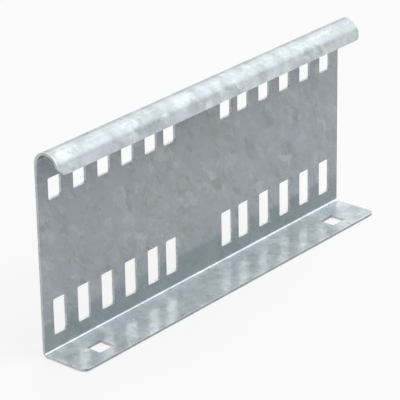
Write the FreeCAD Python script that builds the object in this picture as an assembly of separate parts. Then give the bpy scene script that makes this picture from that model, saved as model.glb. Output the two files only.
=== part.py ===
"""Side connector plate for a cable tray, folded and rolled from one punched sheet.

The plate stands on its flange. X runs along the plate, Y points to the tray wall
that the flat back bears on, and Z points up. The origin is at the middle of the
plate's length and depth, on the underside of the flange. Sizes are in millimetres.
"""

import os

import FreeCAD
import Part

# Sheet and overall size
sheet_thickness = 1.25
plate_length = 200.0
overall_height = 93.4
flange_depth = 23.5

# Bend between the flange and the web
bend_inside_radius = 1.0
flange_corner_radius = 3.5

# Rolled hook along the top edge
hook_inside_radius = 5.35
lip_length = 2.5
lip_lead_in = 3.8
lip_corner_radius = 1.8

# Slots punched through the web, in two rows of two groups
slot_width = 7.7
slot_corner_radius = 0.7
slots_in_group = 6
slot_end_margin = 6.1
slot_pitch = 14.8
innermost_pitch = 12.0
lower_slot_height = 16.3
lower_row_above_base = 16.3
upper_slot_height = 9.5
upper_row_below_top = 19.4

# Bolt holes punched through the flange
flange_hole_length = 8.6
flange_hole_width = 7.7
flange_hole_corner_radius = 0.5
flange_hole_from_end = 19.9
flange_hole_from_back = 13.9

# Places that follow from the sizes above
left_end = -plate_length / 2
right_end = plate_length / 2
back_face = flange_depth / 2
web_face = back_face - sheet_thickness
flange_edge = -flange_depth / 2
bend_outside_radius = bend_inside_radius + sheet_thickness
hook_outside_radius = hook_inside_radius + sheet_thickness
hook_axis_y = back_face - hook_outside_radius
hook_axis_z = overall_height - hook_outside_radius
lip_face = hook_axis_y - hook_outside_radius
lip_end_z = hook_axis_z - lip_length


def arc_through(centre_y, centre_z, radius, start_deg, end_deg):
    """Arc in the section plane at the plate's left end, angles from +Y towards +Z."""
    points = []
    for angle_deg in (start_deg, (start_deg + end_deg) / 2, end_deg):
        turn = FreeCAD.Rotation(FreeCAD.Vector(1, 0, 0), angle_deg)
        spoke = turn.multVec(FreeCAD.Vector(0, radius, 0))
        points.append(FreeCAD.Vector(left_end, centre_y, centre_z) + spoke)
    return Part.Arc(*points).toShape()


def line_between(start_yz, end_yz):
    """Straight edge in the section plane at the plate's left end."""
    start = FreeCAD.Vector(left_end, *start_yz)
    end = FreeCAD.Vector(left_end, *end_yz)
    return Part.LineSegment(start, end).toShape()


def sheet_section():
    """Face of the folded sheet: flange, bend, web, hook and lip, one sheet thick."""
    bend_axis_y = back_face - bend_outside_radius
    bend_axis_z = bend_outside_radius
    lip_inner_face = lip_face + sheet_thickness
    outside = [
        line_between((flange_edge, 0), (bend_axis_y, 0)),
        arc_through(bend_axis_y, bend_axis_z, bend_outside_radius, -90, 0),
        line_between((back_face, bend_axis_z), (back_face, hook_axis_z)),
        arc_through(hook_axis_y, hook_axis_z, hook_outside_radius, 0, 180),
        line_between((lip_face, hook_axis_z), (lip_face, lip_end_z)),
    ]
    inside = [
        line_between((lip_inner_face, lip_end_z), (lip_inner_face, hook_axis_z)),
        arc_through(hook_axis_y, hook_axis_z, hook_inside_radius, 180, 0),
        line_between((web_face, hook_axis_z), (web_face, bend_axis_z)),
        arc_through(bend_axis_y, bend_axis_z, bend_inside_radius, 0, -90),
        line_between((bend_axis_y, sheet_thickness), (flange_edge, sheet_thickness)),
    ]
    lip_edge = line_between((lip_face, lip_end_z), (lip_inner_face, lip_end_z))
    flange_free_edge = line_between((flange_edge, sheet_thickness), (flange_edge, 0))
    return Part.Face(Part.Wire(outside + [lip_edge] + inside + [flange_free_edge]))


def folded_sheet():
    """The section drawn out along the plate, with the flange's free corners rounded."""
    sheet = sheet_section().extrude(FreeCAD.Vector(plate_length, 0, 0))
    corners = []
    for edge in sheet.Edges:
        box = edge.BoundBox
        upright = box.ZLength > sheet_thickness / 2 and box.YLength < sheet_thickness / 2
        at_free_edge = abs(box.YMax - flange_edge) < sheet_thickness / 2
        if upright and at_free_edge:
            corners.append(edge)
    return sheet.makeFillet(flange_corner_radius, corners)


def rounded_punch(length, width, depth, corner_radius):
    """Punch centred on the origin, length along X, width along Y and depth along Z."""
    start = FreeCAD.Vector(-length / 2, -width / 2, -depth / 2)
    block = Part.makeBox(length, width, depth, start)
    uprights = [edge for edge in block.Edges if edge.BoundBox.ZLength > depth / 2]
    return block.makeFillet(corner_radius, uprights)


def slot_centres_x():
    """Places of the slots along the plate, worked inwards from each end."""
    centres = []
    distance = slot_end_margin + slot_width / 2
    for number in range(slots_in_group):
        centres.append(left_end + distance)
        centres.append(right_end - distance)
        last_step = number == slots_in_group - 2
        distance += innermost_pitch if last_step else slot_pitch
    return sorted(centres)


def web_punches():
    """Punches for both rows of slots, set across the web."""
    rows = [
        (lower_row_above_base, lower_slot_height),
        (overall_height - upper_row_below_top, upper_slot_height),
    ]
    web_middle = (back_face + web_face) / 2
    punches = []
    for row_z, slot_height in rows:
        for centre_x in slot_centres_x():
            punch = rounded_punch(slot_width, slot_height, 4 * sheet_thickness, slot_corner_radius)
            punch.rotate(FreeCAD.Vector(0, 0, 0), FreeCAD.Vector(1, 0, 0), 90)
            punch.translate(FreeCAD.Vector(centre_x, web_middle, row_z))
            punches.append(punch)
    return punches


def flange_punches():
    """Punches for the bolt hole near each end of the flange."""
    centre_y = back_face - flange_hole_from_back
    centre_z = sheet_thickness / 2
    punches = []
    for centre_x in (left_end + flange_hole_from_end, right_end - flange_hole_from_end):
        punch = rounded_punch(
            flange_hole_length, flange_hole_width, 4 * sheet_thickness, flange_hole_corner_radius
        )
        punch.translate(FreeCAD.Vector(centre_x, centre_y, centre_z))
        punches.append(punch)
    return punches


def lip_cutter(outline):
    """Cutter with the given closed outline in X and Z, which reaches the lip but not the web."""
    reach = hook_axis_y - lip_face + sheet_thickness
    return Part.Face(outline).extrude(FreeCAD.Vector(0, reach, 0))


def lead_in_cutter():
    """Cuts the lip's left corner at 45 degrees, so that the hook slides on from that end."""
    start_y = lip_face - sheet_thickness
    below = lip_end_z - sheet_thickness
    beyond = left_end - sheet_thickness
    corner_reach = lip_lead_in + 2 * sheet_thickness
    corner = FreeCAD.Vector(beyond, start_y, below)
    along_lip = corner + FreeCAD.Vector(corner_reach, 0, 0)
    up_the_end = corner + FreeCAD.Vector(0, 0, corner_reach)
    return lip_cutter(Part.makePolygon([corner, along_lip, up_the_end, corner]))


def corner_round_cutter():
    """Rounds the lip's right corner."""
    radius = lip_corner_radius
    corner = FreeCAD.Vector(right_end, lip_face - sheet_thickness, lip_end_z)
    centre = corner + FreeCAD.Vector(-radius, 0, radius)
    foot = centre + FreeCAD.Vector(0, 0, -radius)
    middle = centre + FreeCAD.Vector(radius, 0, -radius) / 2 ** 0.5
    side = centre + FreeCAD.Vector(radius, 0, 0)
    edges = [
        Part.Arc(foot, middle, side).toShape(),
        Part.LineSegment(side, corner).toShape(),
        Part.LineSegment(corner, foot).toShape(),
    ]
    return lip_cutter(Part.Wire(edges))


def connector_plate():
    """The whole connector: folded sheet less its slots, holes and trimmed lip corners."""
    cutters = web_punches() + flange_punches() + [lead_in_cutter(), corner_round_cutter()]
    plate = folded_sheet().cut(cutters)
    return plate.removeSplitter()


os.makedirs("parts", exist_ok=True)
plate = connector_plate()
solid = plate.Solids[0]
solid.exportStep("parts/connector_plate.step")
print("solids", len(plate.Solids), "valid", solid.isValid(), "volume mm3", round(solid.Volume, 1))
print("centre of mass", tuple(round(value, 2) for value in solid.CenterOfMass))
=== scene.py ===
"""Looks of a galvanised side connector plate for a cable tray.

The plate is one punched, folded and rolled sheet. It is modelled here again at the size
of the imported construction, with its cut edges eased, and gets a zinc finish. A pale floor,
a soft sky, a soft lamp and the camera of the product picture stand around it.
"""

import logging
import math
from contextlib import contextmanager
from dataclasses import dataclass
from enum import Enum
from typing import Callable, Iterable, Iterator

import bmesh
import bpy
from mathutils import Matrix, Vector


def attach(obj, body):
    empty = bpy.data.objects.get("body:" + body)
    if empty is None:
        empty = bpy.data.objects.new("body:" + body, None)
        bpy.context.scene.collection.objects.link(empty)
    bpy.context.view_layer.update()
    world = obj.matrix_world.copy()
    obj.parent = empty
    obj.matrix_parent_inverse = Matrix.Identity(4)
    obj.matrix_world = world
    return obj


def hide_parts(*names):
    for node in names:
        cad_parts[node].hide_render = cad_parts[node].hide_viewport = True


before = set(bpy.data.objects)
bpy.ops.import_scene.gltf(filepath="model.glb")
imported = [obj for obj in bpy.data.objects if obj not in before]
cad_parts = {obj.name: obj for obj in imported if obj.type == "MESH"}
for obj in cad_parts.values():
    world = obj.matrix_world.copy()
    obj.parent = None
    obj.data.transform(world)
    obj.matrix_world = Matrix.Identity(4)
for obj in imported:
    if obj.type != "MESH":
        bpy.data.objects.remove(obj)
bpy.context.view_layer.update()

log = logging.getLogger("connector_plate")

MM = 0.001
NODE = "connector_plate"
BODY = "root"

# Places nearer than HAIR count as the same when parts are selected, and WELD joins doubled points.
HAIR = 0.125 * MM
WELD = 0.0125 * MM

Socket = bpy.types.NodeSocket
Value = Socket | float
Range = tuple[float, float]
Triple = tuple[float, float, float]
Groups = dict[str, bpy.types.NodeTree]


class Face(Enum):
    """Material slots of the plate's mesh."""

    ZINC = 0
    CUT_EDGE = 1


class Row(Enum):
    """Rows of slots through the web."""

    LOWER = "lower"
    UPPER = "upper"


class Axis(Enum):
    """Axes that a punch can cut along."""

    Y = 1
    Z = 2


class Part(Enum):
    """Parts of a mesh that are selected by their place, with Blender's name for them."""

    VERTEX = "VERT"
    EDGE = "EDGE"


def deselect_all() -> None:
    """Leaves no object selected, so that an operator touches only what comes next."""
    if bpy.context.mode != "OBJECT":
        bpy.ops.object.mode_set(mode="OBJECT")
    bpy.ops.object.select_all(action="DESELECT")


def activate(piece: bpy.types.Object) -> None:
    """Makes one object the only selected and the active one.

    Args:
        piece: The object that the next operators work on.
    """
    deselect_all()
    piece.select_set(True)
    bpy.context.view_layer.objects.active = piece


@contextmanager
def editing(piece: bpy.types.Object) -> Iterator[None]:
    """Keeps a piece in edit mode for the length of a with block.

    Args:
        piece: The object to edit.

    Returns:
        The context of that block.
    """
    activate(piece)
    bpy.ops.object.mode_set(mode="EDIT")
    yield
    bpy.ops.object.mode_set(mode="OBJECT")


def select_parts(piece: bpy.types.Object, kind: Part, wanted: Callable[[Vector], bool]) -> None:
    """Selects vertices or edges of a piece in edit mode by the place of their middle.

    Args:
        piece: The object in edit mode.
        kind: What is selected.
        wanted: Says of a middle point, in metres, whether its part is selected.
    """
    bpy.ops.mesh.select_mode(type=kind.value)
    bpy.ops.mesh.select_all(action="DESELECT")
    mesh = bmesh.from_edit_mesh(piece.data)
    if kind is Part.VERTEX:
        parts = [(vertex, vertex.co) for vertex in mesh.verts]
    else:
        parts = [(edge, (edge.verts[0].co + edge.verts[1].co) / 2) for edge in mesh.edges]
    for part, middle in parts:
        if wanted(middle):
            part.select_set(True)
    mesh.select_flush_mode()
    bmesh.update_edit_mesh(piece.data)


def apply_modifier(piece: bpy.types.Object, kind: str, **settings: object) -> None:
    """Adds a modifier, sets it and applies it.

    Args:
        piece: The object to change.
        kind: The modifier's type, such as "SOLIDIFY".
        settings: Values for the modifier's own properties.
    """
    activate(piece)
    modifier = piece.modifiers.new(kind.title(), kind)
    for name, value in settings.items():
        setattr(modifier, name, value)
    bpy.ops.object.modifier_apply(modifier=modifier.name)


def named_at_size(name: str, size: Vector) -> bpy.types.Object:
    """Names the primitive that was just added and brings it to its size.

    Args:
        name: What to call it.
        size: Its lengths along its own X, Y and Z.

    Returns:
        The object, unturned and unscaled.
    """
    piece = bpy.context.object
    piece.name = name
    piece.scale = size
    bpy.ops.object.transform_apply(location=True, rotation=True, scale=True)
    return piece


def add_block(name: str, size: Vector) -> bpy.types.Object:
    """Adds a block round the origin.

    Args:
        name: What to call it.
        size: Its lengths along X, Y and Z.

    Returns:
        The block.
    """
    deselect_all()
    bpy.ops.mesh.primitive_cube_add(size=1)
    return named_at_size(name, size)


def turn_towards(azimuth: float, elevation: float, roll: float = 0.0) -> Matrix:
    """Turns a camera or lamp that stands in a direction, so that it looks back at its aim.

    Args:
        azimuth: The direction's angle from the front, towards the right, in degrees.
        elevation: Its angle above the floor, in degrees.
        roll: How far the camera or lamp is turned about its own axis, in degrees.

    Returns:
        The rotation, whose Z axis is that direction.
    """
    turn = Matrix.Rotation(math.radians(azimuth), 4, "Z")
    turn = turn @ Matrix.Rotation(math.radians(90 - elevation), 4, "X")
    return turn @ Matrix.Rotation(math.radians(roll), 4, "Z")


@dataclass(frozen=True)
class SheetSizes:
    """Sizes of the folded sheet in metres, as in the construction."""

    thickness: float = 1.25 * MM
    length: float = 200.0 * MM
    height: float = 93.4 * MM
    flange_depth: float = 23.5 * MM
    bend_inside: float = 1.0 * MM
    flange_corner: float = 3.5 * MM
    hook_inside: float = 5.35 * MM
    lip_length: float = 2.5 * MM
    lip_lead_in: float = 3.8 * MM
    lip_corner: float = 1.8 * MM
    edge_ease: float = 0.26 * MM

    @property
    def back(self) -> float:
        """Place of the flat back along Y."""
        return self.flange_depth / 2

    @property
    def bend_outside(self) -> float:
        """Outside radius of the bend."""
        return self.bend_inside + self.thickness

    @property
    def hook_outside(self) -> float:
        """Outside radius of the rolled hook."""
        return self.hook_inside + self.thickness

    @property
    def hook_axis(self) -> Vector:
        """A point on the axis of the rolled hook."""
        return Vector((0.0, self.back - self.hook_outside, self.height - self.hook_outside))

    @property
    def bend_axis(self) -> Vector:
        """A point on the axis of the bend."""
        return Vector((0.0, self.back - self.bend_outside, self.bend_outside))

    @property
    def lip_face(self) -> float:
        """Place of the lip's outer face along Y."""
        return self.hook_axis.y - self.hook_outside

    @property
    def lip_end(self) -> float:
        """Height of the lip's free edge."""
        return self.hook_axis.z - self.lip_length


@dataclass(frozen=True)
class PunchSizes:
    """Sizes of the punched slots and bolt holes in metres, as in the construction.

    The reach is the punches' own length, which is well over the sheet's thickness.
    """

    slot_width: float = 7.7 * MM
    slot_corner: float = 0.7 * MM
    slots_in_group: int = 6
    end_margin: float = 6.1 * MM
    pitch: float = 14.8 * MM
    innermost_pitch: float = 12.0 * MM
    lower_height: float = 16.3 * MM
    lower_above_base: float = 16.3 * MM
    upper_height: float = 9.5 * MM
    upper_below_top: float = 19.4 * MM
    hole_length: float = 8.6 * MM
    hole_width: float = 7.7 * MM
    hole_corner: float = 0.5 * MM
    hole_from_end: float = 19.9 * MM
    hole_from_back: float = 13.9 * MM
    reach: float = 5.0 * MM

    def slot_places(self, sheet: SheetSizes) -> list[float]:
        """Places of the slots along X, worked inwards from each end.

        Args:
            sheet: The sheet that they go through.

        Returns:
            The middle of each slot, in metres.
        """
        places = []
        distance = self.end_margin + self.slot_width / 2
        for number in range(self.slots_in_group):
            places += [distance - sheet.length / 2, sheet.length / 2 - distance]
            last_step = number == self.slots_in_group - 2
            distance += self.innermost_pitch if last_step else self.pitch
        return sorted(places)

    def row(self, row: Row, sheet: SheetSizes) -> Range:
        """Middle height and slot height of one row.

        Args:
            row: Which row.
            sheet: The sheet that it goes through.

        Returns:
            The middle above the base and the height of a slot, in metres.
        """
        if row is Row.LOWER:
            return self.lower_above_base, self.lower_height
        return sheet.height - self.upper_below_top, self.upper_height


class NodeBoard:
    """Short ways to lay out shader nodes in one node tree."""

    def __init__(self, tree: bpy.types.NodeTree) -> None:
        """Starts with an empty tree.

        Args:
            tree: The tree to fill.
        """
        self.tree = tree
        tree.nodes.clear()

    @classmethod
    def of(cls, owner: bpy.types.Material | bpy.types.World) -> "NodeBoard":
        """Starts the nodes of a material or a world."""
        owner.use_nodes = True
        return cls(owner.node_tree)

    def feed(self, end: Socket, value: Value | tuple[float, ...] | Vector) -> None:
        """Gives an input its value.

        Args:
            end: The input.
            value: An output to link to it, or a value of its own.
        """
        if isinstance(value, Socket):
            self.tree.links.new(value, end)
        else:
            end.default_value = value

    def add(self, kind: str, **settings: object) -> bpy.types.Node:
        """Adds a node.

        Args:
            kind: Its type, such as "ShaderNodeTexNoise".
            settings: Its properties, and values or outputs for its inputs, with _ for a space.

        Returns:
            The node.
        """
        node = self.tree.nodes.new(kind)
        for name, value in settings.items():
            label = name.replace("_", " ")
            if label in node.inputs:
                self.feed(node.inputs[label], value)
            else:
                setattr(node, name, value)
        return node

    def math(self, operation: str, first: Value, second: Value = 0.0) -> Socket:
        """Works out one sum from two values.

        Args:
            operation: The Math node's operation.
            first: A socket or a number.
            second: A socket or a number.

        Returns:
            The output.
        """
        node = self.add("ShaderNodeMath", operation=operation)
        self.feed(node.inputs[0], first)
        self.feed(node.inputs[1], second)
        return node.outputs[0]

    def vector_math(
        self, operation: str, first: Socket, second: Socket | Triple | Vector
    ) -> Socket:
        """Works out one sum from two vectors.

        Args:
            operation: The Vector Math node's operation.
            first: The first vector.
            second: The second vector.

        Returns:
            The output: a number for a dot product, and otherwise a vector.
        """
        node = self.add("ShaderNodeVectorMath", operation=operation)
        self.feed(node.inputs[0], first)
        self.feed(node.inputs[1], second)
        return node.outputs["Value" if operation == "DOT_PRODUCT" else "Vector"]

    def scale_vector(self, vector: Socket, factor: Value) -> Socket:
        """Multiplies a vector or colour by one factor."""
        node = self.add("ShaderNodeVectorMath", operation="SCALE", Vector=vector, Scale=factor)
        return node.outputs[0]

    def components(self, vector: Socket) -> list[Socket]:
        """Takes a vector apart into its X, Y and Z."""
        return list(self.add("ShaderNodeSeparateXYZ", Vector=vector).outputs)

    def product(self, *values: Value) -> Value:
        """Multiplies values.

        Args:
            values: Two or more sockets or numbers.

        Returns:
            The output.
        """
        total = values[0]
        for value in values[1:]:
            total = self.math("MULTIPLY", total, value)
        return total

    def mixture(self, shares: Iterable[tuple[Socket, float]], start: float = 0.0) -> Value:
        """Adds up values in given shares.

        Args:
            shares: Each value and its share.
            start: What they are added to.

        Returns:
            The output.
        """
        total = start
        for value, share in shares:
            total = self.math("ADD", self.product(value, share), total)
        return total

    def opposite(self, mask: Socket) -> Socket:
        """Turns a mask round, so that 0 becomes 1 and 1 becomes 0."""
        return self.math("SUBTRACT", 1.0, mask)

    def spread(
        self,
        value: Socket,
        low: float,
        high: float,
        to_low: float = 0.0,
        to_high: float = 1.0,
        soft: bool = False,
    ) -> Socket:
        """Maps a range of values to another, held at its ends.

        Args:
            value: What to map.
            low: Start of the range.
            high: End of the range.
            to_low: What low becomes.
            to_high: What high becomes.
            soft: Whether the change starts and ends gently.

        Returns:
            The output.
        """
        node = self.add(
            "ShaderNodeMapRange",
            interpolation_type="SMOOTHSTEP" if soft else "LINEAR",
            Value=value,
            From_Min=low,
            From_Max=high,
            To_Min=to_low,
            To_Max=to_high,
        )
        return node.outputs["Result"]

    def blend(self, factor: Socket, first: Socket | Triple, second: Socket | Triple) -> Socket:
        """Mixes two colours.

        Args:
            factor: How much of the second colour, from 0 to 1.
            first: A colour or a socket.
            second: A colour or a socket.

        Returns:
            The mixed colour.
        """
        node = self.add("ShaderNodeMix", data_type="RGBA", Factor=factor)
        ends = [socket for socket in node.inputs if socket.type == "RGBA"]
        for end, value in zip(ends, (first, second)):
            self.feed(end, value if isinstance(value, Socket) else (*value, 1.0))
        return next(socket for socket in node.outputs if socket.type == "RGBA")

    def bump(self, height: Socket, relief: float, normal: Socket | None = None) -> Socket:
        """Adds a Bump node.

        Args:
            height: The height pattern, from 0 to 1.
            relief: How high a 1 stands, in metres.
            normal: The normal to start from, or None for the surface's own.

        Returns:
            The bumped normal.
        """
        node = self.add("ShaderNodeBump", Strength=1.0, Distance=relief, Height=height)
        if normal is not None:
            self.feed(node.inputs["Normal"], normal)
        return node.outputs["Normal"]

    def effect(
        self, group: bpy.types.NodeTree, place: Socket, **values: float
    ) -> bpy.types.bpy_prop_collection:
        """Places a shared node group with its own values.

        Args:
            group: The group.
            place: The coordinates that it reads.
            values: Values of its inputs, with _ for a space in the name.

        Returns:
            Its outputs by name.
        """
        return self.add("ShaderNodeGroup", node_tree=group, Vector=place, **values).outputs

    def end(self, shader: Socket, kind: str = "ShaderNodeOutputMaterial") -> None:
        """Makes a shader the surface of the material or, with another kind, of the world."""
        self.add(kind, Surface=shader)


class GroupBoard(NodeBoard):
    """A node group that is being laid out, with its inputs and outputs by name."""

    def __init__(self, name: str, inputs: dict[str, float], outputs: tuple[str, ...]) -> None:
        """Starts the group.

        Args:
            name: What to call it.
            inputs: Its inputs, besides Vector, and their usual values.
            outputs: Its outputs, all numbers.
        """
        super().__init__(bpy.data.node_groups.new(name, "ShaderNodeTree"))
        new_socket = self.tree.interface.new_socket
        new_socket("Vector", in_out="INPUT", socket_type="NodeSocketVector")
        for label, value in inputs.items():
            socket = new_socket(label, in_out="INPUT", socket_type="NodeSocketFloat")
            socket.default_value = value
        for label in outputs:
            new_socket(label, in_out="OUTPUT", socket_type="NodeSocketFloat")
        self.given = self.add("NodeGroupInput").outputs
        self.result = self.add("NodeGroupOutput").inputs


@dataclass(frozen=True)
class Spangle:
    """Crystals of a zinc coat: feathery patches that differ in shade, tint and gloss.

    The layers give the scale and smoothness of the large and the small crystals, and the
    large shares say how much of shade, tint and gloss the large ones give.
    """

    usual_size: float = 6.0 * MM
    usual_feather: float = 1.0
    turn: Triple = (0.0, 0.9, 0.3)
    stretch: Triple = (1.35, 1.0, 0.8)
    warp_scale: float = 1.5
    warp_detail: float = 3.0
    warp_roughness: float = 0.5
    warp_middle: Triple = (0.5, 0.5, 0.5)
    layers: tuple[Range, Range] = ((1.0, 0.15), (2.3, 0.25))
    large_shares: Triple = (0.55, 0.7, 0.6)
    cloud_scale: float = 0.3
    cloud_detail: float = 4.0
    cloud_range: Range = (0.3, 0.7)
    cloud_depth: float = 0.14

    def group(self) -> bpy.types.NodeTree:
        """Lays out the effect.

        Returns:
            A group with the outputs Shade, Tint, Gloss and Height, all about 0 to 1.
        """
        inputs = {"Crystal Size": self.usual_size, "Feather": self.usual_feather}
        board = GroupBoard("spangle", inputs, ("Shade", "Tint", "Gloss", "Height"))
        grain = board.add(
            "ShaderNodeMapping",
            vector_type="TEXTURE",
            Vector=board.given["Vector"],
            Rotation=self.turn,
            Scale=self.stretch,
        )
        per_metre = board.math("DIVIDE", 1.0, board.given["Crystal Size"])
        scaled = board.scale_vector(grain.outputs[0], per_metre)
        warp = board.add(
            "ShaderNodeTexNoise",
            Vector=scaled,
            Scale=self.warp_scale,
            Detail=self.warp_detail,
            Roughness=self.warp_roughness,
        )
        centred = board.vector_math("SUBTRACT", warp.outputs["Color"], self.warp_middle)
        feathers = board.scale_vector(centred, board.given["Feather"])
        warped = board.vector_math("ADD", scaled, feathers)
        channels = []
        for scale, smoothness in self.layers:
            crystals = board.add(
                "ShaderNodeTexVoronoi",
                feature="SMOOTH_F1",
                Vector=warped,
                Scale=scale,
                Smoothness=smoothness,
            )
            apart = board.add("ShaderNodeSeparateColor", Color=crystals.outputs["Color"])
            channels.append(apart.outputs)
        large, small = channels
        shade, tint, gloss = (
            board.mixture(((large[channel], share), (small[channel], 1.0 - share)))
            for channel, share in enumerate(self.large_shares)
        )
        cloud = board.add(
            "ShaderNodeTexNoise", Vector=scaled, Scale=self.cloud_scale, Detail=self.cloud_detail
        )
        depth = self.cloud_depth
        drift = board.spread(cloud.outputs["Fac"], *self.cloud_range, -depth, depth)
        board.feed(board.result["Shade"], board.math("ADD", shade, drift))
        board.feed(board.result["Tint"], tint)
        board.feed(board.result["Gloss"], gloss)
        board.feed(board.result["Height"], shade)
        return board.tree


@dataclass(frozen=True)
class Waviness:
    """Slow unevenness of rolled and folded sheet."""

    usual_length: float = 20.0 * MM
    detail: float = 2.0
    roughness: float = 0.45

    def group(self) -> bpy.types.NodeTree:
        """Lays out the effect.

        Returns:
            A group with the output Height, from 0 to 1.
        """
        board = GroupBoard("waviness", {"Wave Length": self.usual_length}, ("Height",))
        noise = board.add(
            "ShaderNodeTexNoise",
            Vector=board.given["Vector"],
            Scale=board.math("DIVIDE", 1.0, board.given["Wave Length"]),
            Detail=self.detail,
            Roughness=self.roughness,
        )
        board.feed(board.result["Height"], noise.outputs["Fac"])
        return board.tree


@dataclass(frozen=True)
class Beads:
    """Sparse low beads of zinc, as a hot-dip coat leaves them."""

    usual_spacing: float = 15.0 * MM
    usual_radius: float = 1.8 * MM
    flat_share: float = 0.2

    def group(self) -> bpy.types.NodeTree:
        """Lays out the effect.

        Returns:
            A group with the output Height, 1 on a bead's top and 0 between the beads.
        """
        inputs = {"Spacing": self.usual_spacing, "Radius": self.usual_radius}
        board = GroupBoard("beads", inputs, ("Height",))
        spacing = board.given["Spacing"]
        spots = board.add(
            "ShaderNodeTexVoronoi",
            feature="F1",
            Vector=board.given["Vector"],
            Scale=board.math("DIVIDE", 1.0, spacing),
        )
        distance = board.product(spots.outputs["Distance"], spacing)
        outward = board.math("DIVIDE", distance, board.given["Radius"])
        height = board.spread(outward, self.flat_share, 1.0, 1.0, 0.0, soft=True)
        board.feed(board.result["Height"], height)
        return board.tree


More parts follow.
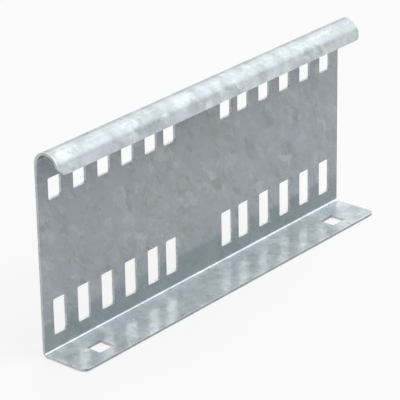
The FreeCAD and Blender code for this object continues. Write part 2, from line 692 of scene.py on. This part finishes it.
@dataclass(frozen=True)
class ZincFinish:
    """Zinc coat on the sheet's rolled faces, shinier on the bend, with painted shade on the web and
    painted light on the hook.

    A tone is the painted light or shade of a zone against the plain coat. Lengths are in metres,
    and each range says between which two values of its pattern a change runs.
    """

    dull: Triple = (0.465, 0.528, 0.532)
    bright: Triple = (0.675, 0.750, 0.762)
    shade_range: Range = (0.2, 0.8)
    violet: Triple = (0.572, 0.615, 0.697)
    violet_share: float = 0.90
    violet_kept: float = 0.7
    tint_range: Range = (0.3, 0.7)
    green: Triple = (0.515, 0.620, 0.640)
    green_share: float = 0.60
    # Painted shade: the foot of the web darker, near the fold.
    foot_painted_shade: float = 0.515
    # Painted shade: the whole web darker than the hook and the flange.
    web_painted_shade: float = 0.622
    # Painted shade: the upper web darker towards the hook.
    upper_web_painted_shade: float = 0.575
    # Painted highlight on the web's upward-facing ledges at the slots' lower edges.
    ledge_painted_light: float = 1.35
    # Painted light: the hook, bend and flange a little lighter than the plain coat.
    hook_tone: float = 1.03
    # Painted shade inside the hook, darkest under its roof.
    inside_hook_painted_shade: float = 0.56
    hook_roof_painted_shade: float = 0.08
    bend_tone: float = 1.04
    flange_tone: float = 1.085
    # Painted light on the flange near the bend.
    inner_flange_painted_light: float = 1.40
    # Painted highlight along the rims of the flange's front edge and the plate's ends.
    rim_painted_highlight: float = 1.5
    crystal_size: float = 5.4 * MM
    wave_length: float = 15.0 * MM
    patch_size: float = 9.0 * MM
    patch_range: Range = (0.35, 0.65)
    patch_contrast: float = 0.10
    metallic: float = 0.25
    flange_metallic: float = 0.36
    bend_metallic: float = 0.70
    gloss_range: Range = (0.1, 0.9)
    roughness_low: float = 0.18
    roughness_high: float = 0.30
    web_bottom: float = 1.7 * MM
    foot_height: float = 13.0 * MM
    web_middle: float = 24.0 * MM
    web_top: float = 80.0 * MM
    web_front: float = 9.8 * MM
    bend_top: float = 2.6 * MM
    bend_front: float = 9.0 * MM
    roll_height: float = 6.0 * MM
    roof_height: float = 3.6 * MM
    rim: float = 0.5 * MM
    inner_flange_start: float = 2.0 * MM
    ledge_range: Range = (0.1, 0.45)
    web_blend: float = 0.6 * MM
    foot_blend: float = 3.0 * MM
    bend_blend: float = 0.8 * MM
    wall_margin: float = 0.3 * MM
    spangle_relief: float = 0.025 * MM
    wave_relief: float = 0.28 * MM
    bead_relief: float = 0.10 * MM

    def dress(self, material: bpy.types.Material, groups: Groups, sheet: SheetSizes) -> None:
        """Lays out the material's nodes.

        Args:
            material: The material to fill.
            groups: The shared node groups by name.
            sheet: The sheet's sizes, which say where its web, bend and hook are.
        """
        board = NodeBoard.of(material)
        coordinates = board.add("ShaderNodeTexCoord").outputs
        place = coordinates["Object"]
        zones = self._zones(board, place, coordinates["Normal"], sheet)
        spangle = board.effect(groups["spangle"], place, Crystal_Size=self.crystal_size)
        patches = board.effect(groups["waviness"], place, Wave_Length=self.patch_size)
        waves = board.effect(groups["waviness"], place, Wave_Length=self.wave_length)
        beads = board.effect(groups["beads"], place)
        contrast = self.patch_contrast
        lighter = board.spread(patches["Height"], *self.patch_range, -contrast, contrast)
        # Painted light and shade of the zones, with random lighter and darker patches on the hook.
        tone = board.math("ADD", self._tone(board, zones), board.product(zones["hook"], lighter))
        normal = board.bump(waves["Height"], self.wave_relief)
        on_hook = board.product(beads["Height"], zones["hook"])
        normal = board.bump(on_hook, self.bead_relief, normal)
        shader = board.add(
            "ShaderNodeBsdfPrincipled",
            Base_Color=board.scale_vector(self._colour(board, spangle, zones), tone),
            Metallic=self._metallic(board, zones),
            Roughness=board.spread(
                spangle["Gloss"], *self.gloss_range, self.roughness_high, self.roughness_low
            ),
            Normal=board.bump(spangle["Height"], self.spangle_relief, normal),
        )
        board.end(shader.outputs[0])

    def _zones(
        self, board: NodeBoard, place: Socket, facing: Socket, sheet: SheetSizes
    ) -> dict[str, Socket]:
        """Masks of the plate's zones, worked out from the place on the plate.

        Args:
            board: The material's nodes.
            place: Object coordinates.
            facing: The way that the surface faces, in the same directions.
            sheet: The sheet's sizes.

        Returns:
            A mask from 0 to 1 for each zone by name.
        """
        along, depth, height = board.components(place)
        rolled = board.spread(height, self.web_top, self.web_top + self.roll_height, soft=True)
        rise = board.math("MAXIMUM", board.math("SUBTRACT", height, sheet.hook_axis.z), 0.0)
        reach = board.math("SUBTRACT", depth, sheet.hook_axis.y)
        squares = board.math("ADD", board.product(rise, rise), board.product(reach, reach))
        outer = board.spread(
            board.math("SQRT", squares),
            sheet.hook_inside + self.wall_margin,
            sheet.hook_outside - self.wall_margin,
        )
        inner = board.opposite(outer)
        roof = board.spread(rise, self.roof_height / 2, self.roof_height, soft=True)
        web = board.product(
            board.spread(height, self.web_bottom, self.web_bottom + self.web_blend, soft=True),
            board.spread(depth, self.web_front, self.web_front + self.web_blend),
            board.opposite(rolled),
        )
        foot_top = self.foot_height + self.foot_blend
        foot = board.opposite(board.spread(height, self.foot_height, foot_top, soft=True))
        upper = board.spread(height, self.web_middle, self.web_top, soft=True)
        bend_start = self.bend_top - self.bend_blend
        low = board.opposite(board.spread(height, bend_start, self.bend_top, soft=True))
        behind = board.spread(depth, self.bend_front, self.bend_front + self.bend_blend, soft=True)
        flange = board.product(low, board.opposite(behind))
        inner_flange = board.spread(depth, self.inner_flange_start, self.bend_front)
        from_front = board.math("ADD", depth, sheet.flange_depth / 2)
        from_end = board.math("SUBTRACT", sheet.length / 2, board.math("ABSOLUTE", along))
        from_edge = board.math("MINIMUM", from_front, from_end)
        rim = board.opposite(board.spread(from_edge, self.rim / 2, self.rim))
        ledge = board.spread(board.components(facing)[2], *self.ledge_range)
        return {
            "web": web,
            "foot": board.product(web, foot),
            "upper web": board.product(web, upper),
            "ledge": board.product(web, ledge),
            "hook": board.product(rolled, outer),
            "inside hook": board.product(rolled, inner),
            "hook roof": board.product(inner, roof),
            "bend": board.product(low, behind),
            "flange": flange,
            "inner flange": board.product(flange, inner_flange),
            "rim": board.product(rim, board.opposite(web)),
        }

    def _colour(
        self, board: NodeBoard, spangle: bpy.types.bpy_prop_collection, zones: dict[str, Socket]
    ) -> Socket:
        """Colour of the crystals, with less violet on hook and flange and a greener foot.

        Args:
            board: The material's nodes.
            spangle: The crystals' outputs.
            zones: The masks.

        Returns:
            The colour before its painted light and shade.
        """
        shade = board.spread(spangle["Shade"], *self.shade_range)
        colour = board.blend(shade, self.dull, self.bright)
        violet = board.spread(spangle["Tint"], *self.tint_range, 0.0, self.violet_share, soft=True)
        calm = board.math("MAXIMUM", zones["hook"], zones["flange"])
        violet = board.product(violet, board.spread(calm, 0.0, 1.0, 1.0, self.violet_kept))
        colour = board.blend(violet, colour, self.violet)
        return board.blend(board.product(zones["foot"], self.green_share), colour, self.green)

    def _tone(self, board: NodeBoard, zones: dict[str, Socket]) -> Value:
        """Painted light and shade of each zone: the web, its foot and upper part and the inside of
        the hook darker, the ledges, inner flange and rims lighter.

        Args:
            board: The material's nodes.
            zones: The masks.

        Returns:
            A factor for the colour.
        """
        changes = {
            "web": self.web_painted_shade - 1.0,
            "foot": self.foot_painted_shade - self.web_painted_shade,
            "upper web": self.upper_web_painted_shade - self.web_painted_shade,
            "ledge": self.ledge_painted_light - self.web_painted_shade,
            "hook": self.hook_tone - 1.0,
            "inside hook": self.inside_hook_painted_shade - 1.0,
            "hook roof": self.hook_roof_painted_shade - self.inside_hook_painted_shade,
            "bend": self.bend_tone - 1.0,
            "flange": self.flange_tone - 1.0,
            "inner flange": self.inner_flange_painted_light - self.flange_tone,
            "rim": self.rim_painted_highlight - 1.0,
        }
        return board.mixture(((zones[name], change) for name, change in changes.items()), 1.0)

    def _metallic(self, board: NodeBoard, zones: dict[str, Socket]) -> Value:
        """How bare and shiny the metal is in each zone.

        Args:
            board: The material's nodes.
            zones: The masks.

        Returns:
            A value for the shader's Metallic.
        """
        changes = (
            (zones["bend"], self.bend_metallic - self.metallic),
            (zones["flange"], self.flange_metallic - self.metallic),
        )
        return board.mixture(changes, self.metallic)


@dataclass(frozen=True)
class CutEdgeFinish:
    """Sheared and punched edges of the sheet: duller, with fine drag marks and painted light and
    shade by the way they face.
    """

    dark: Triple = (0.58, 0.61, 0.62)
    light: Triple = (0.78, 0.81, 0.82)
    metallic: float = 0.3
    # Painted shade on the flange's front edges.
    front_edge_painted_shade: float = 0.55
    # Painted light on the flange's left ends.
    left_end_painted_light: float = 1.25
    # Painted light on the slots' upward ledges.
    ledge_painted_light: float = 1.25
    away_range: Range = (-0.8, -0.5)
    upward_range: Range = (0.5, 0.8)
    mark_spacing: float = 0.5 * MM
    mark_detail: float = 3.0
    mark_share: float = 0.5
    mark_range: Range = (0.3, 0.7)
    crystal_size: float = 2.5 * MM
    roughness_low: float = 0.34
    roughness_high: float = 0.50
    relief: float = 0.02 * MM

    def dress(self, material: bpy.types.Material, groups: Groups, sheet: SheetSizes) -> None:
        """Lays out the material's nodes.

        Args:
            material: The material to fill.
            groups: The shared node groups by name.
            sheet: The sheet's sizes, which say where the flange is.
        """
        board = NodeBoard.of(material)
        coordinates = board.add("ShaderNodeTexCoord").outputs
        place = coordinates["Object"]
        noise = board.add(
            "ShaderNodeTexNoise",
            Vector=place,
            Scale=1.0 / self.mark_spacing,
            Detail=self.mark_detail,
        )
        marks = noise.outputs["Fac"]
        shade = board.effect(groups["spangle"], place, Crystal_Size=self.crystal_size)["Shade"]
        both = board.mixture(((marks, self.mark_share), (shade, 1.0 - self.mark_share)))
        colour = board.blend(board.spread(both, *self.mark_range), self.dark, self.light)
        # Painted light and shade by the way each edge faces.
        tone = self._tone(board, place, coordinates["Normal"], sheet)
        shader = board.add(
            "ShaderNodeBsdfPrincipled",
            Base_Color=board.scale_vector(colour, tone),
            Metallic=self.metallic,
            Roughness=board.spread(
                marks, *self.mark_range, self.roughness_high, self.roughness_low
            ),
            Normal=board.bump(marks, self.relief),
        )
        board.end(shader.outputs[0])

    def _tone(self, board: NodeBoard, place: Socket, facing: Socket, sheet: SheetSizes) -> Value:
        """Painted light and shade of the edges: the flange's front edges darker and its left ends
        lighter by the way they face, and the slots' upward ledges lighter.

        Args:
            board: The material's nodes.
            place: Object coordinates.
            facing: The way that the surface faces, in the same directions.
            sheet: The sheet's sizes.

        Returns:
            A factor for the colour.
        """
        to_right, to_back, upwards = board.components(facing)
        height = board.components(place)[2]
        above = board.spread(height, sheet.thickness, 2 * sheet.thickness)
        flange = board.opposite(above)
        front = board.spread(to_back, *self.away_range, 1.0, 0.0)
        left = board.spread(to_right, *self.away_range, 1.0, 0.0)
        ledge = board.spread(upwards, *self.upward_range)
        changes = (
            (board.product(flange, front), self.front_edge_painted_shade - 1.0),
            (board.product(flange, left), self.left_end_painted_light - 1.0),
            (board.product(above, ledge), self.ledge_painted_light - 1.0),
        )
        return board.mixture(changes, 1.0)


@dataclass(frozen=True)
class ConnectorPlate:
    """The folded sheet, modelled flat face by flat face and then punched and eased.

    The angles, in degrees, say from which fold on an edge is eased and where shading breaks.
    """

    sheet: SheetSizes = SheetSizes()
    punches: PunchSizes = PunchSizes()
    zinc: ZincFinish = ZincFinish()
    cut_edge: CutEdgeFinish = CutEdgeFinish()
    bend_steps: int = 10
    hook_steps: int = 31
    corner_steps: int = 8
    punch_corner_steps: int = 4
    ease_steps: int = 2
    eased_angle: float = 40.0
    smooth_angle: float = 35.0
    flat_weight: int = 100

    def build(self) -> bpy.types.Object:
        """Models the whole plate.

        Returns:
            The finished object, at the origin.
        """
        plate = self._fold()
        self._round_flat_corners(plate)
        self._thicken(plate)
        cutters = [*self._slot_cutters(), self._hole_cutter(), self._lead_in_cutter()]
        for cutter in cutters:
            self._cut(plate, cutter)
        self._ease_edges(plate)
        return plate

    def dress(self, plate: bpy.types.Object, groups: Groups) -> None:
        """Gives the coated faces and the cut edges their finishes.

        Args:
            plate: The built plate.
            groups: The shared node groups by name.
        """
        for face, finish in ((Face.ZINC, self.zinc), (Face.CUT_EDGE, self.cut_edge)):
            finish.dress(plate.data.materials[face.value], groups, self.sheet)

    def _fold(self) -> bpy.types.Object:
        """Folds a flat strip into flange, bend, web, hook and lip, as its outer surface.

        Returns:
            The folded surface, with no thickness yet.
        """
        sheet = self.sheet
        hook = sheet.hook_axis
        bend = sheet.bend_axis
        middle = Vector((0.0, sheet.back, (hook.z + bend.z) / 2))
        flange_run = Vector((0.0, -bend.y - sheet.flange_depth / 2, 0.0))
        lip_run = Vector((0.0, 0.0, -sheet.lip_length))
        quarter = math.pi / 2
        deselect_all()
        bpy.ops.mesh.primitive_plane_add(size=1, location=middle, rotation=(quarter, 0, 0))
        plate = named_at_size("plate_sheet", Vector((sheet.length, hook.z - bend.z, 1.0)))
        with editing(plate):
            select_parts(plate, Part.EDGE, lambda p: abs(p.z - bend.z) < HAIR)
            bpy.ops.mesh.spin(steps=self.bend_steps, angle=quarter, center=bend, axis=(1, 0, 0))
            bpy.ops.mesh.extrude_region_move(TRANSFORM_OT_translate={"value": flange_run})
            select_parts(
                plate, Part.EDGE, lambda p: abs(p.z - hook.z) < HAIR and abs(p.x) < HAIR
            )
            bpy.ops.mesh.spin(steps=self.hook_steps, angle=math.pi, center=hook, axis=(-1, 0, 0))
            bpy.ops.mesh.extrude_region_move(TRANSFORM_OT_translate={"value": lip_run})
            bpy.ops.mesh.select_all(action="SELECT")
            bpy.ops.mesh.remove_doubles(threshold=WELD)
            bpy.ops.mesh.normals_make_consistent(inside=False)
        return plate

    def _round_flat_corners(self, plate: bpy.types.Object) -> None:
        """Rounds the flange's free corners and the lip's right corner.

        Args:
            plate: The folded surface.
        """
        sheet = self.sheet
        front = -sheet.flange_depth / 2
        right = sheet.length / 2
        low = sheet.lip_end
        corners = (
            (sheet.flange_corner, lambda p: abs(p.y - front) < HAIR and p.z < HAIR),
            (sheet.lip_corner, lambda p: abs(p.z - low) < HAIR and abs(p.x - right) < HAIR),
        )
        with editing(plate):
            for radius, at_corner in corners:
                select_parts(plate, Part.VERTEX, at_corner)
                bpy.ops.mesh.bevel(offset=radius, segments=self.corner_steps, affect="VERTICES")

    def _thicken(self, plate: bpy.types.Object) -> None:
        """Gives the surface its thickness inwards, with cut faces round the rim.

        Args:
            plate: The folded surface.
        """
        web = max(plate.data.polygons, key=lambda polygon: polygon.area)
        outwards = 1.0 if web.normal.y > 0 else -1.0
        for face in Face:
            plate.data.materials.append(bpy.data.materials.new(face.name.lower()))
        apply_modifier(
            plate,
            "SOLIDIFY",
            thickness=self.sheet.thickness,
            offset=-outwards,
            use_even_offset=True,
            material_offset_rim=Face.CUT_EDGE.value,
        )
        with editing(plate):
            bpy.ops.mesh.select_all(action="SELECT")
            bpy.ops.mesh.normals_make_consistent(inside=False)

    def _punch(self, name: str, size: Vector, corner: float, along: Axis) -> bpy.types.Object:
        """Models one punch at the origin, with its corners rounded.

        Args:
            name: What to call it.
            size: Its lengths along X, Y and Z.
            corner: Radius of its four long edges.
            along: The axis that it cuts along.

        Returns:
            The punch.
        """
        punch = add_block(name, size)
        with editing(punch):
            select_parts(
                punch,
                Part.EDGE,
                lambda p: all((abs(p[i]) < HAIR) == (i == along.value) for i in range(3)),
            )
            bpy.ops.mesh.bevel(offset=corner, segments=self.punch_corner_steps, affect="EDGES")
        return punch

    def _placed(self, punch: bpy.types.Object, places: list[Vector]) -> bpy.types.Object:
        """Copies a punch to several places and joins the copies.

        Args:
            punch: The punch at the origin, which is used up.
            places: Where the copies go.

        Returns:
            One cutter of them all.
        """
        copies = []
        for place in places:
            copy = bpy.data.objects.new(punch.name, punch.data.copy())
            copy.data.transform(Matrix.Translation(place))
            bpy.context.collection.objects.link(copy)
            copies.append(copy)
        activate(copies[0])
        for copy in copies:
            copy.select_set(True)
        bpy.ops.object.join()
        bpy.data.objects.remove(punch)
        return copies[0]

    def _slot_cutters(self) -> list[bpy.types.Object]:
        """Cutters for both rows of slots.

        Returns:
            One joined cutter for each row.
        """
        punches = self.punches
        web_middle = self.sheet.back - self.sheet.thickness / 2
        cutters = []
        for row in Row:
            middle, height = punches.row(row, self.sheet)
            size = Vector((punches.slot_width, punches.reach, height))
            punch = self._punch(f"{row.value}_slots", size, punches.slot_corner, Axis.Y)
            places = [Vector((x, web_middle, middle)) for x in punches.slot_places(self.sheet)]
            cutters.append(self._placed(punch, places))
        return cutters

    def _hole_cutter(self) -> bpy.types.Object:
        """Cutter for the bolt holes near the flange's ends.

        Returns:
            One joined cutter.
        """
        sheet = self.sheet
        punches = self.punches
        size = Vector((punches.hole_length, punches.hole_width, punches.reach))
        punch = self._punch("flange_holes", size, punches.hole_corner, Axis.Z)
        aside = sheet.length / 2 - punches.hole_from_end
        y = sheet.back - punches.hole_from_back
        return self._placed(punch, [Vector((x, y, sheet.thickness / 2)) for x in (-aside, aside)])

    def _lead_in_cutter(self) -> bpy.types.Object:
        """Cutter that trims the lip's left corner at 45 degrees.

        Returns:
            The cutter, which reaches the lip but not the web.
        """
        sheet = self.sheet
        ample = 4 * sheet.lip_lead_in
        before_lip = 2 * sheet.thickness
        depth = before_lip + sheet.hook_outside
        cutter = add_block("lead_in", Vector((ample, depth, ample)))
        turn = Matrix.Rotation(math.pi / 4, 4, "Y")
        half_cut = sheet.lip_lead_in / 2
        on_cut = Vector((half_cut - sheet.length / 2, 0.0, sheet.lip_end + half_cut))
        away = Vector((-1.0, 0.0, -1.0)).normalized() * ample / 2
        y = sheet.lip_face - before_lip + depth / 2
        place = Vector((on_cut.x + away.x, y, on_cut.z + away.z))
        cutter.data.transform(Matrix.Translation(place) @ turn)
        return cutter

    def _cut(self, plate: bpy.types.Object, cutter: bpy.types.Object) -> None:
        """Cuts one cutter out of the plate and removes it.

        Args:
            plate: The sheet.
            cutter: What is taken out of it.
        """
        for material in plate.data.materials:
            cutter.data.materials.append(material)
        for polygon in cutter.data.polygons:
            polygon.material_index = Face.CUT_EDGE.value
        apply_modifier(plate, "BOOLEAN", object=cutter, operation="DIFFERENCE", solver="EXACT")
        bpy.data.objects.remove(cutter)

    def _ease_edges(self, plate: bpy.types.Object) -> None:
        """Rounds every cut edge a little and shades flats flat and rounds round.

        Args:
            plate: The punched sheet.
        """
        apply_modifier(
            plate,
            "BEVEL",
            width=self.sheet.edge_ease,
            segments=self.ease_steps,
            material=Face.ZINC.value,
            limit_method="ANGLE",
            angle_limit=math.radians(self.eased_angle),
            use_clamp_overlap=True,
        )
        activate(plate)
        bpy.ops.object.shade_smooth_by_angle(angle=math.radians(self.smooth_angle))
        apply_modifier(plate, "WEIGHTED_NORMAL", weight=self.flat_weight, keep_sharp=True)


@dataclass(frozen=True)
class PictureCamera:
    """Camera of the product picture, in degrees and metres."""

    azimuth: float = -49.595
    elevation: float = 24.076
    roll: float = -1.035
    distance: float = 1.0375
    focal_pixels: float = 2385.98
    frame_pixels: float = 400.0
    sensor_width: float = 36.0
    aim: Triple = (0.0, 0.0105, 0.050)
    aside: float = 0.00056
    above: float = -0.01255

    def place(self) -> None:
        """Adds the camera and makes it the scene's."""
        data = bpy.data.cameras.new("picture_camera")
        data.sensor_width = self.sensor_width
        data.lens = self.focal_pixels * self.sensor_width / self.frame_pixels
        camera = bpy.data.objects.new("picture_camera", data)
        turn = turn_towards(self.azimuth, self.elevation, self.roll)
        offset = turn.to_3x3() @ Vector((self.aside, self.above, self.distance))
        camera.matrix_world = Matrix.Translation(Vector(self.aim) + offset) @ turn
        bpy.context.collection.objects.link(camera)
        bpy.context.scene.camera = camera


@dataclass(frozen=True)
class Lamp:
    """One soft lamp: a square panel that faces the plate, in degrees and metres."""

    name: str
    azimuth: float
    elevation: float
    distance: float
    side: float
    radiance: float

    def place(self, aim: Vector) -> None:
        """Adds the lamp.

        Args:
            aim: The point that it faces.
        """
        data = bpy.data.lights.new(self.name, "AREA")
        data.shape = "SQUARE"
        data.size = self.side
        data.energy = self.radiance * math.pi * self.side ** 2
        lamp = bpy.data.objects.new(self.name, data)
        turn = turn_towards(self.azimuth, self.elevation)
        offset = turn.to_3x3() @ Vector((0.0, 0.0, self.distance))
        lamp.matrix_world = Matrix.Translation(aim + offset) @ turn
        bpy.context.collection.objects.link(lamp)


@dataclass(frozen=True)
class Glow:
    """A round soft bright region of the sky, in degrees, as a big cloth-covered lamp gives."""

    azimuth: float
    elevation: float
    outer: float
    inner: float
    radiance: float

    @property
    def direction(self) -> Vector:
        """Unit vector from the plate to the middle of the glow."""
        return turn_towards(self.azimuth, self.elevation).to_3x3() @ Vector((0.0, 0.0, 1.0))


@dataclass(frozen=True)
class Studio:
    """Pale floor, sky of soft light and a lamp."""

    floor_side: float = 6.0
    floor_colour: Triple = (0.93, 0.93, 0.93)
    backdrop_share: float = 0.8
    sky: float = 0.45
    sky_slope: float = 0.36
    lighter_side: Triple = (0.978, 0.208, 0.0)
    glow: Glow = Glow(azimuth=45.5, elevation=47.8, outer=44.8, inner=8.0, radiance=1.61)
    lamp: Lamp = Lamp(
        "top_panel", azimuth=114.3, elevation=44.8, distance=3.2, side=2.23, radiance=1.01
    )
    lamp_aim: Triple = (0.0, 0.0, 0.045)

    def build(self) -> None:
        """Adds the floor, the sky and the lamp, and shows colours as they are."""
        self._floor()
        self._sky()
        self.lamp.place(Vector(self.lamp_aim))
        bpy.context.scene.view_settings.view_transform = "Standard"

    def _floor(self) -> None:
        """Adds the floor, which the camera and mirrors see mostly as white."""
        deselect_all()
        bpy.ops.mesh.primitive_plane_add(size=self.floor_side)
        floor = bpy.context.object
        floor.name = "floor"
        material = bpy.data.materials.new("floor")
        board = NodeBoard.of(material)
        rays = board.add("ShaderNodeLightPath").outputs
        seen = board.math("MAXIMUM", rays["Is Camera Ray"], rays["Is Glossy Ray"])
        seen = board.math("MAXIMUM", seen, rays["Is Transmission Ray"])
        surface = board.add("ShaderNodeBsdfDiffuse", Color=(*self.floor_colour, 1.0))
        white = board.add("ShaderNodeEmission", Strength=1.0)
        mix = board.add("ShaderNodeMixShader")
        board.feed(mix.inputs[0], board.product(seen, self.backdrop_share))
        board.feed(mix.inputs[1], surface.outputs[0])
        board.feed(mix.inputs[2], white.outputs[0])
        board.end(mix.outputs[0])
        floor.data.materials.append(material)

    def _sky(self) -> None:
        """Makes the world a soft sky, lighter to the right, with one glow."""
        world = bpy.data.worlds.new("sky")
        bpy.context.scene.world = world
        board = NodeBoard.of(world)
        place = board.add("ShaderNodeTexCoord").outputs["Generated"]
        to_right = board.vector_math("DOT_PRODUCT", place, self.lighter_side)
        to_glow = board.vector_math("DOT_PRODUCT", place, self.glow.direction)
        low, high = self.sky - self.sky_slope, self.sky + self.sky_slope
        level = board.spread(to_right, -1.0, 1.0, low, high)
        outer, inner = (math.cos(math.radians(edge)) for edge in (self.glow.outer, self.glow.inner))
        glow = board.spread(to_glow, outer, inner, 0.0, self.glow.radiance, soft=True)
        background = board.add(
            "ShaderNodeBackground",
            Color=(1.0, 1.0, 1.0, 1.0),
            Strength=board.math("ADD", level, glow),
        )
        board.end(background.outputs[0], "ShaderNodeOutputWorld")


def main() -> None:
    """Builds the plate, dresses it and sets it in the studio."""
    logging.basicConfig(level=logging.INFO, format="%(name)s: %(message)s")
    PictureCamera().place()
    effects = {"spangle": Spangle(), "waviness": Waviness(), "beads": Beads()}
    groups = {name: effect.group() for name, effect in effects.items()}
    connector = ConnectorPlate()
    plate = connector.build()
    connector.dress(plate, groups)
    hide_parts(NODE)
    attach(plate, BODY)
    log.info("%s: %d faces", plate.name, len(plate.data.polygons))
    Studio().build()


if __name__ == "__main__":
    main()
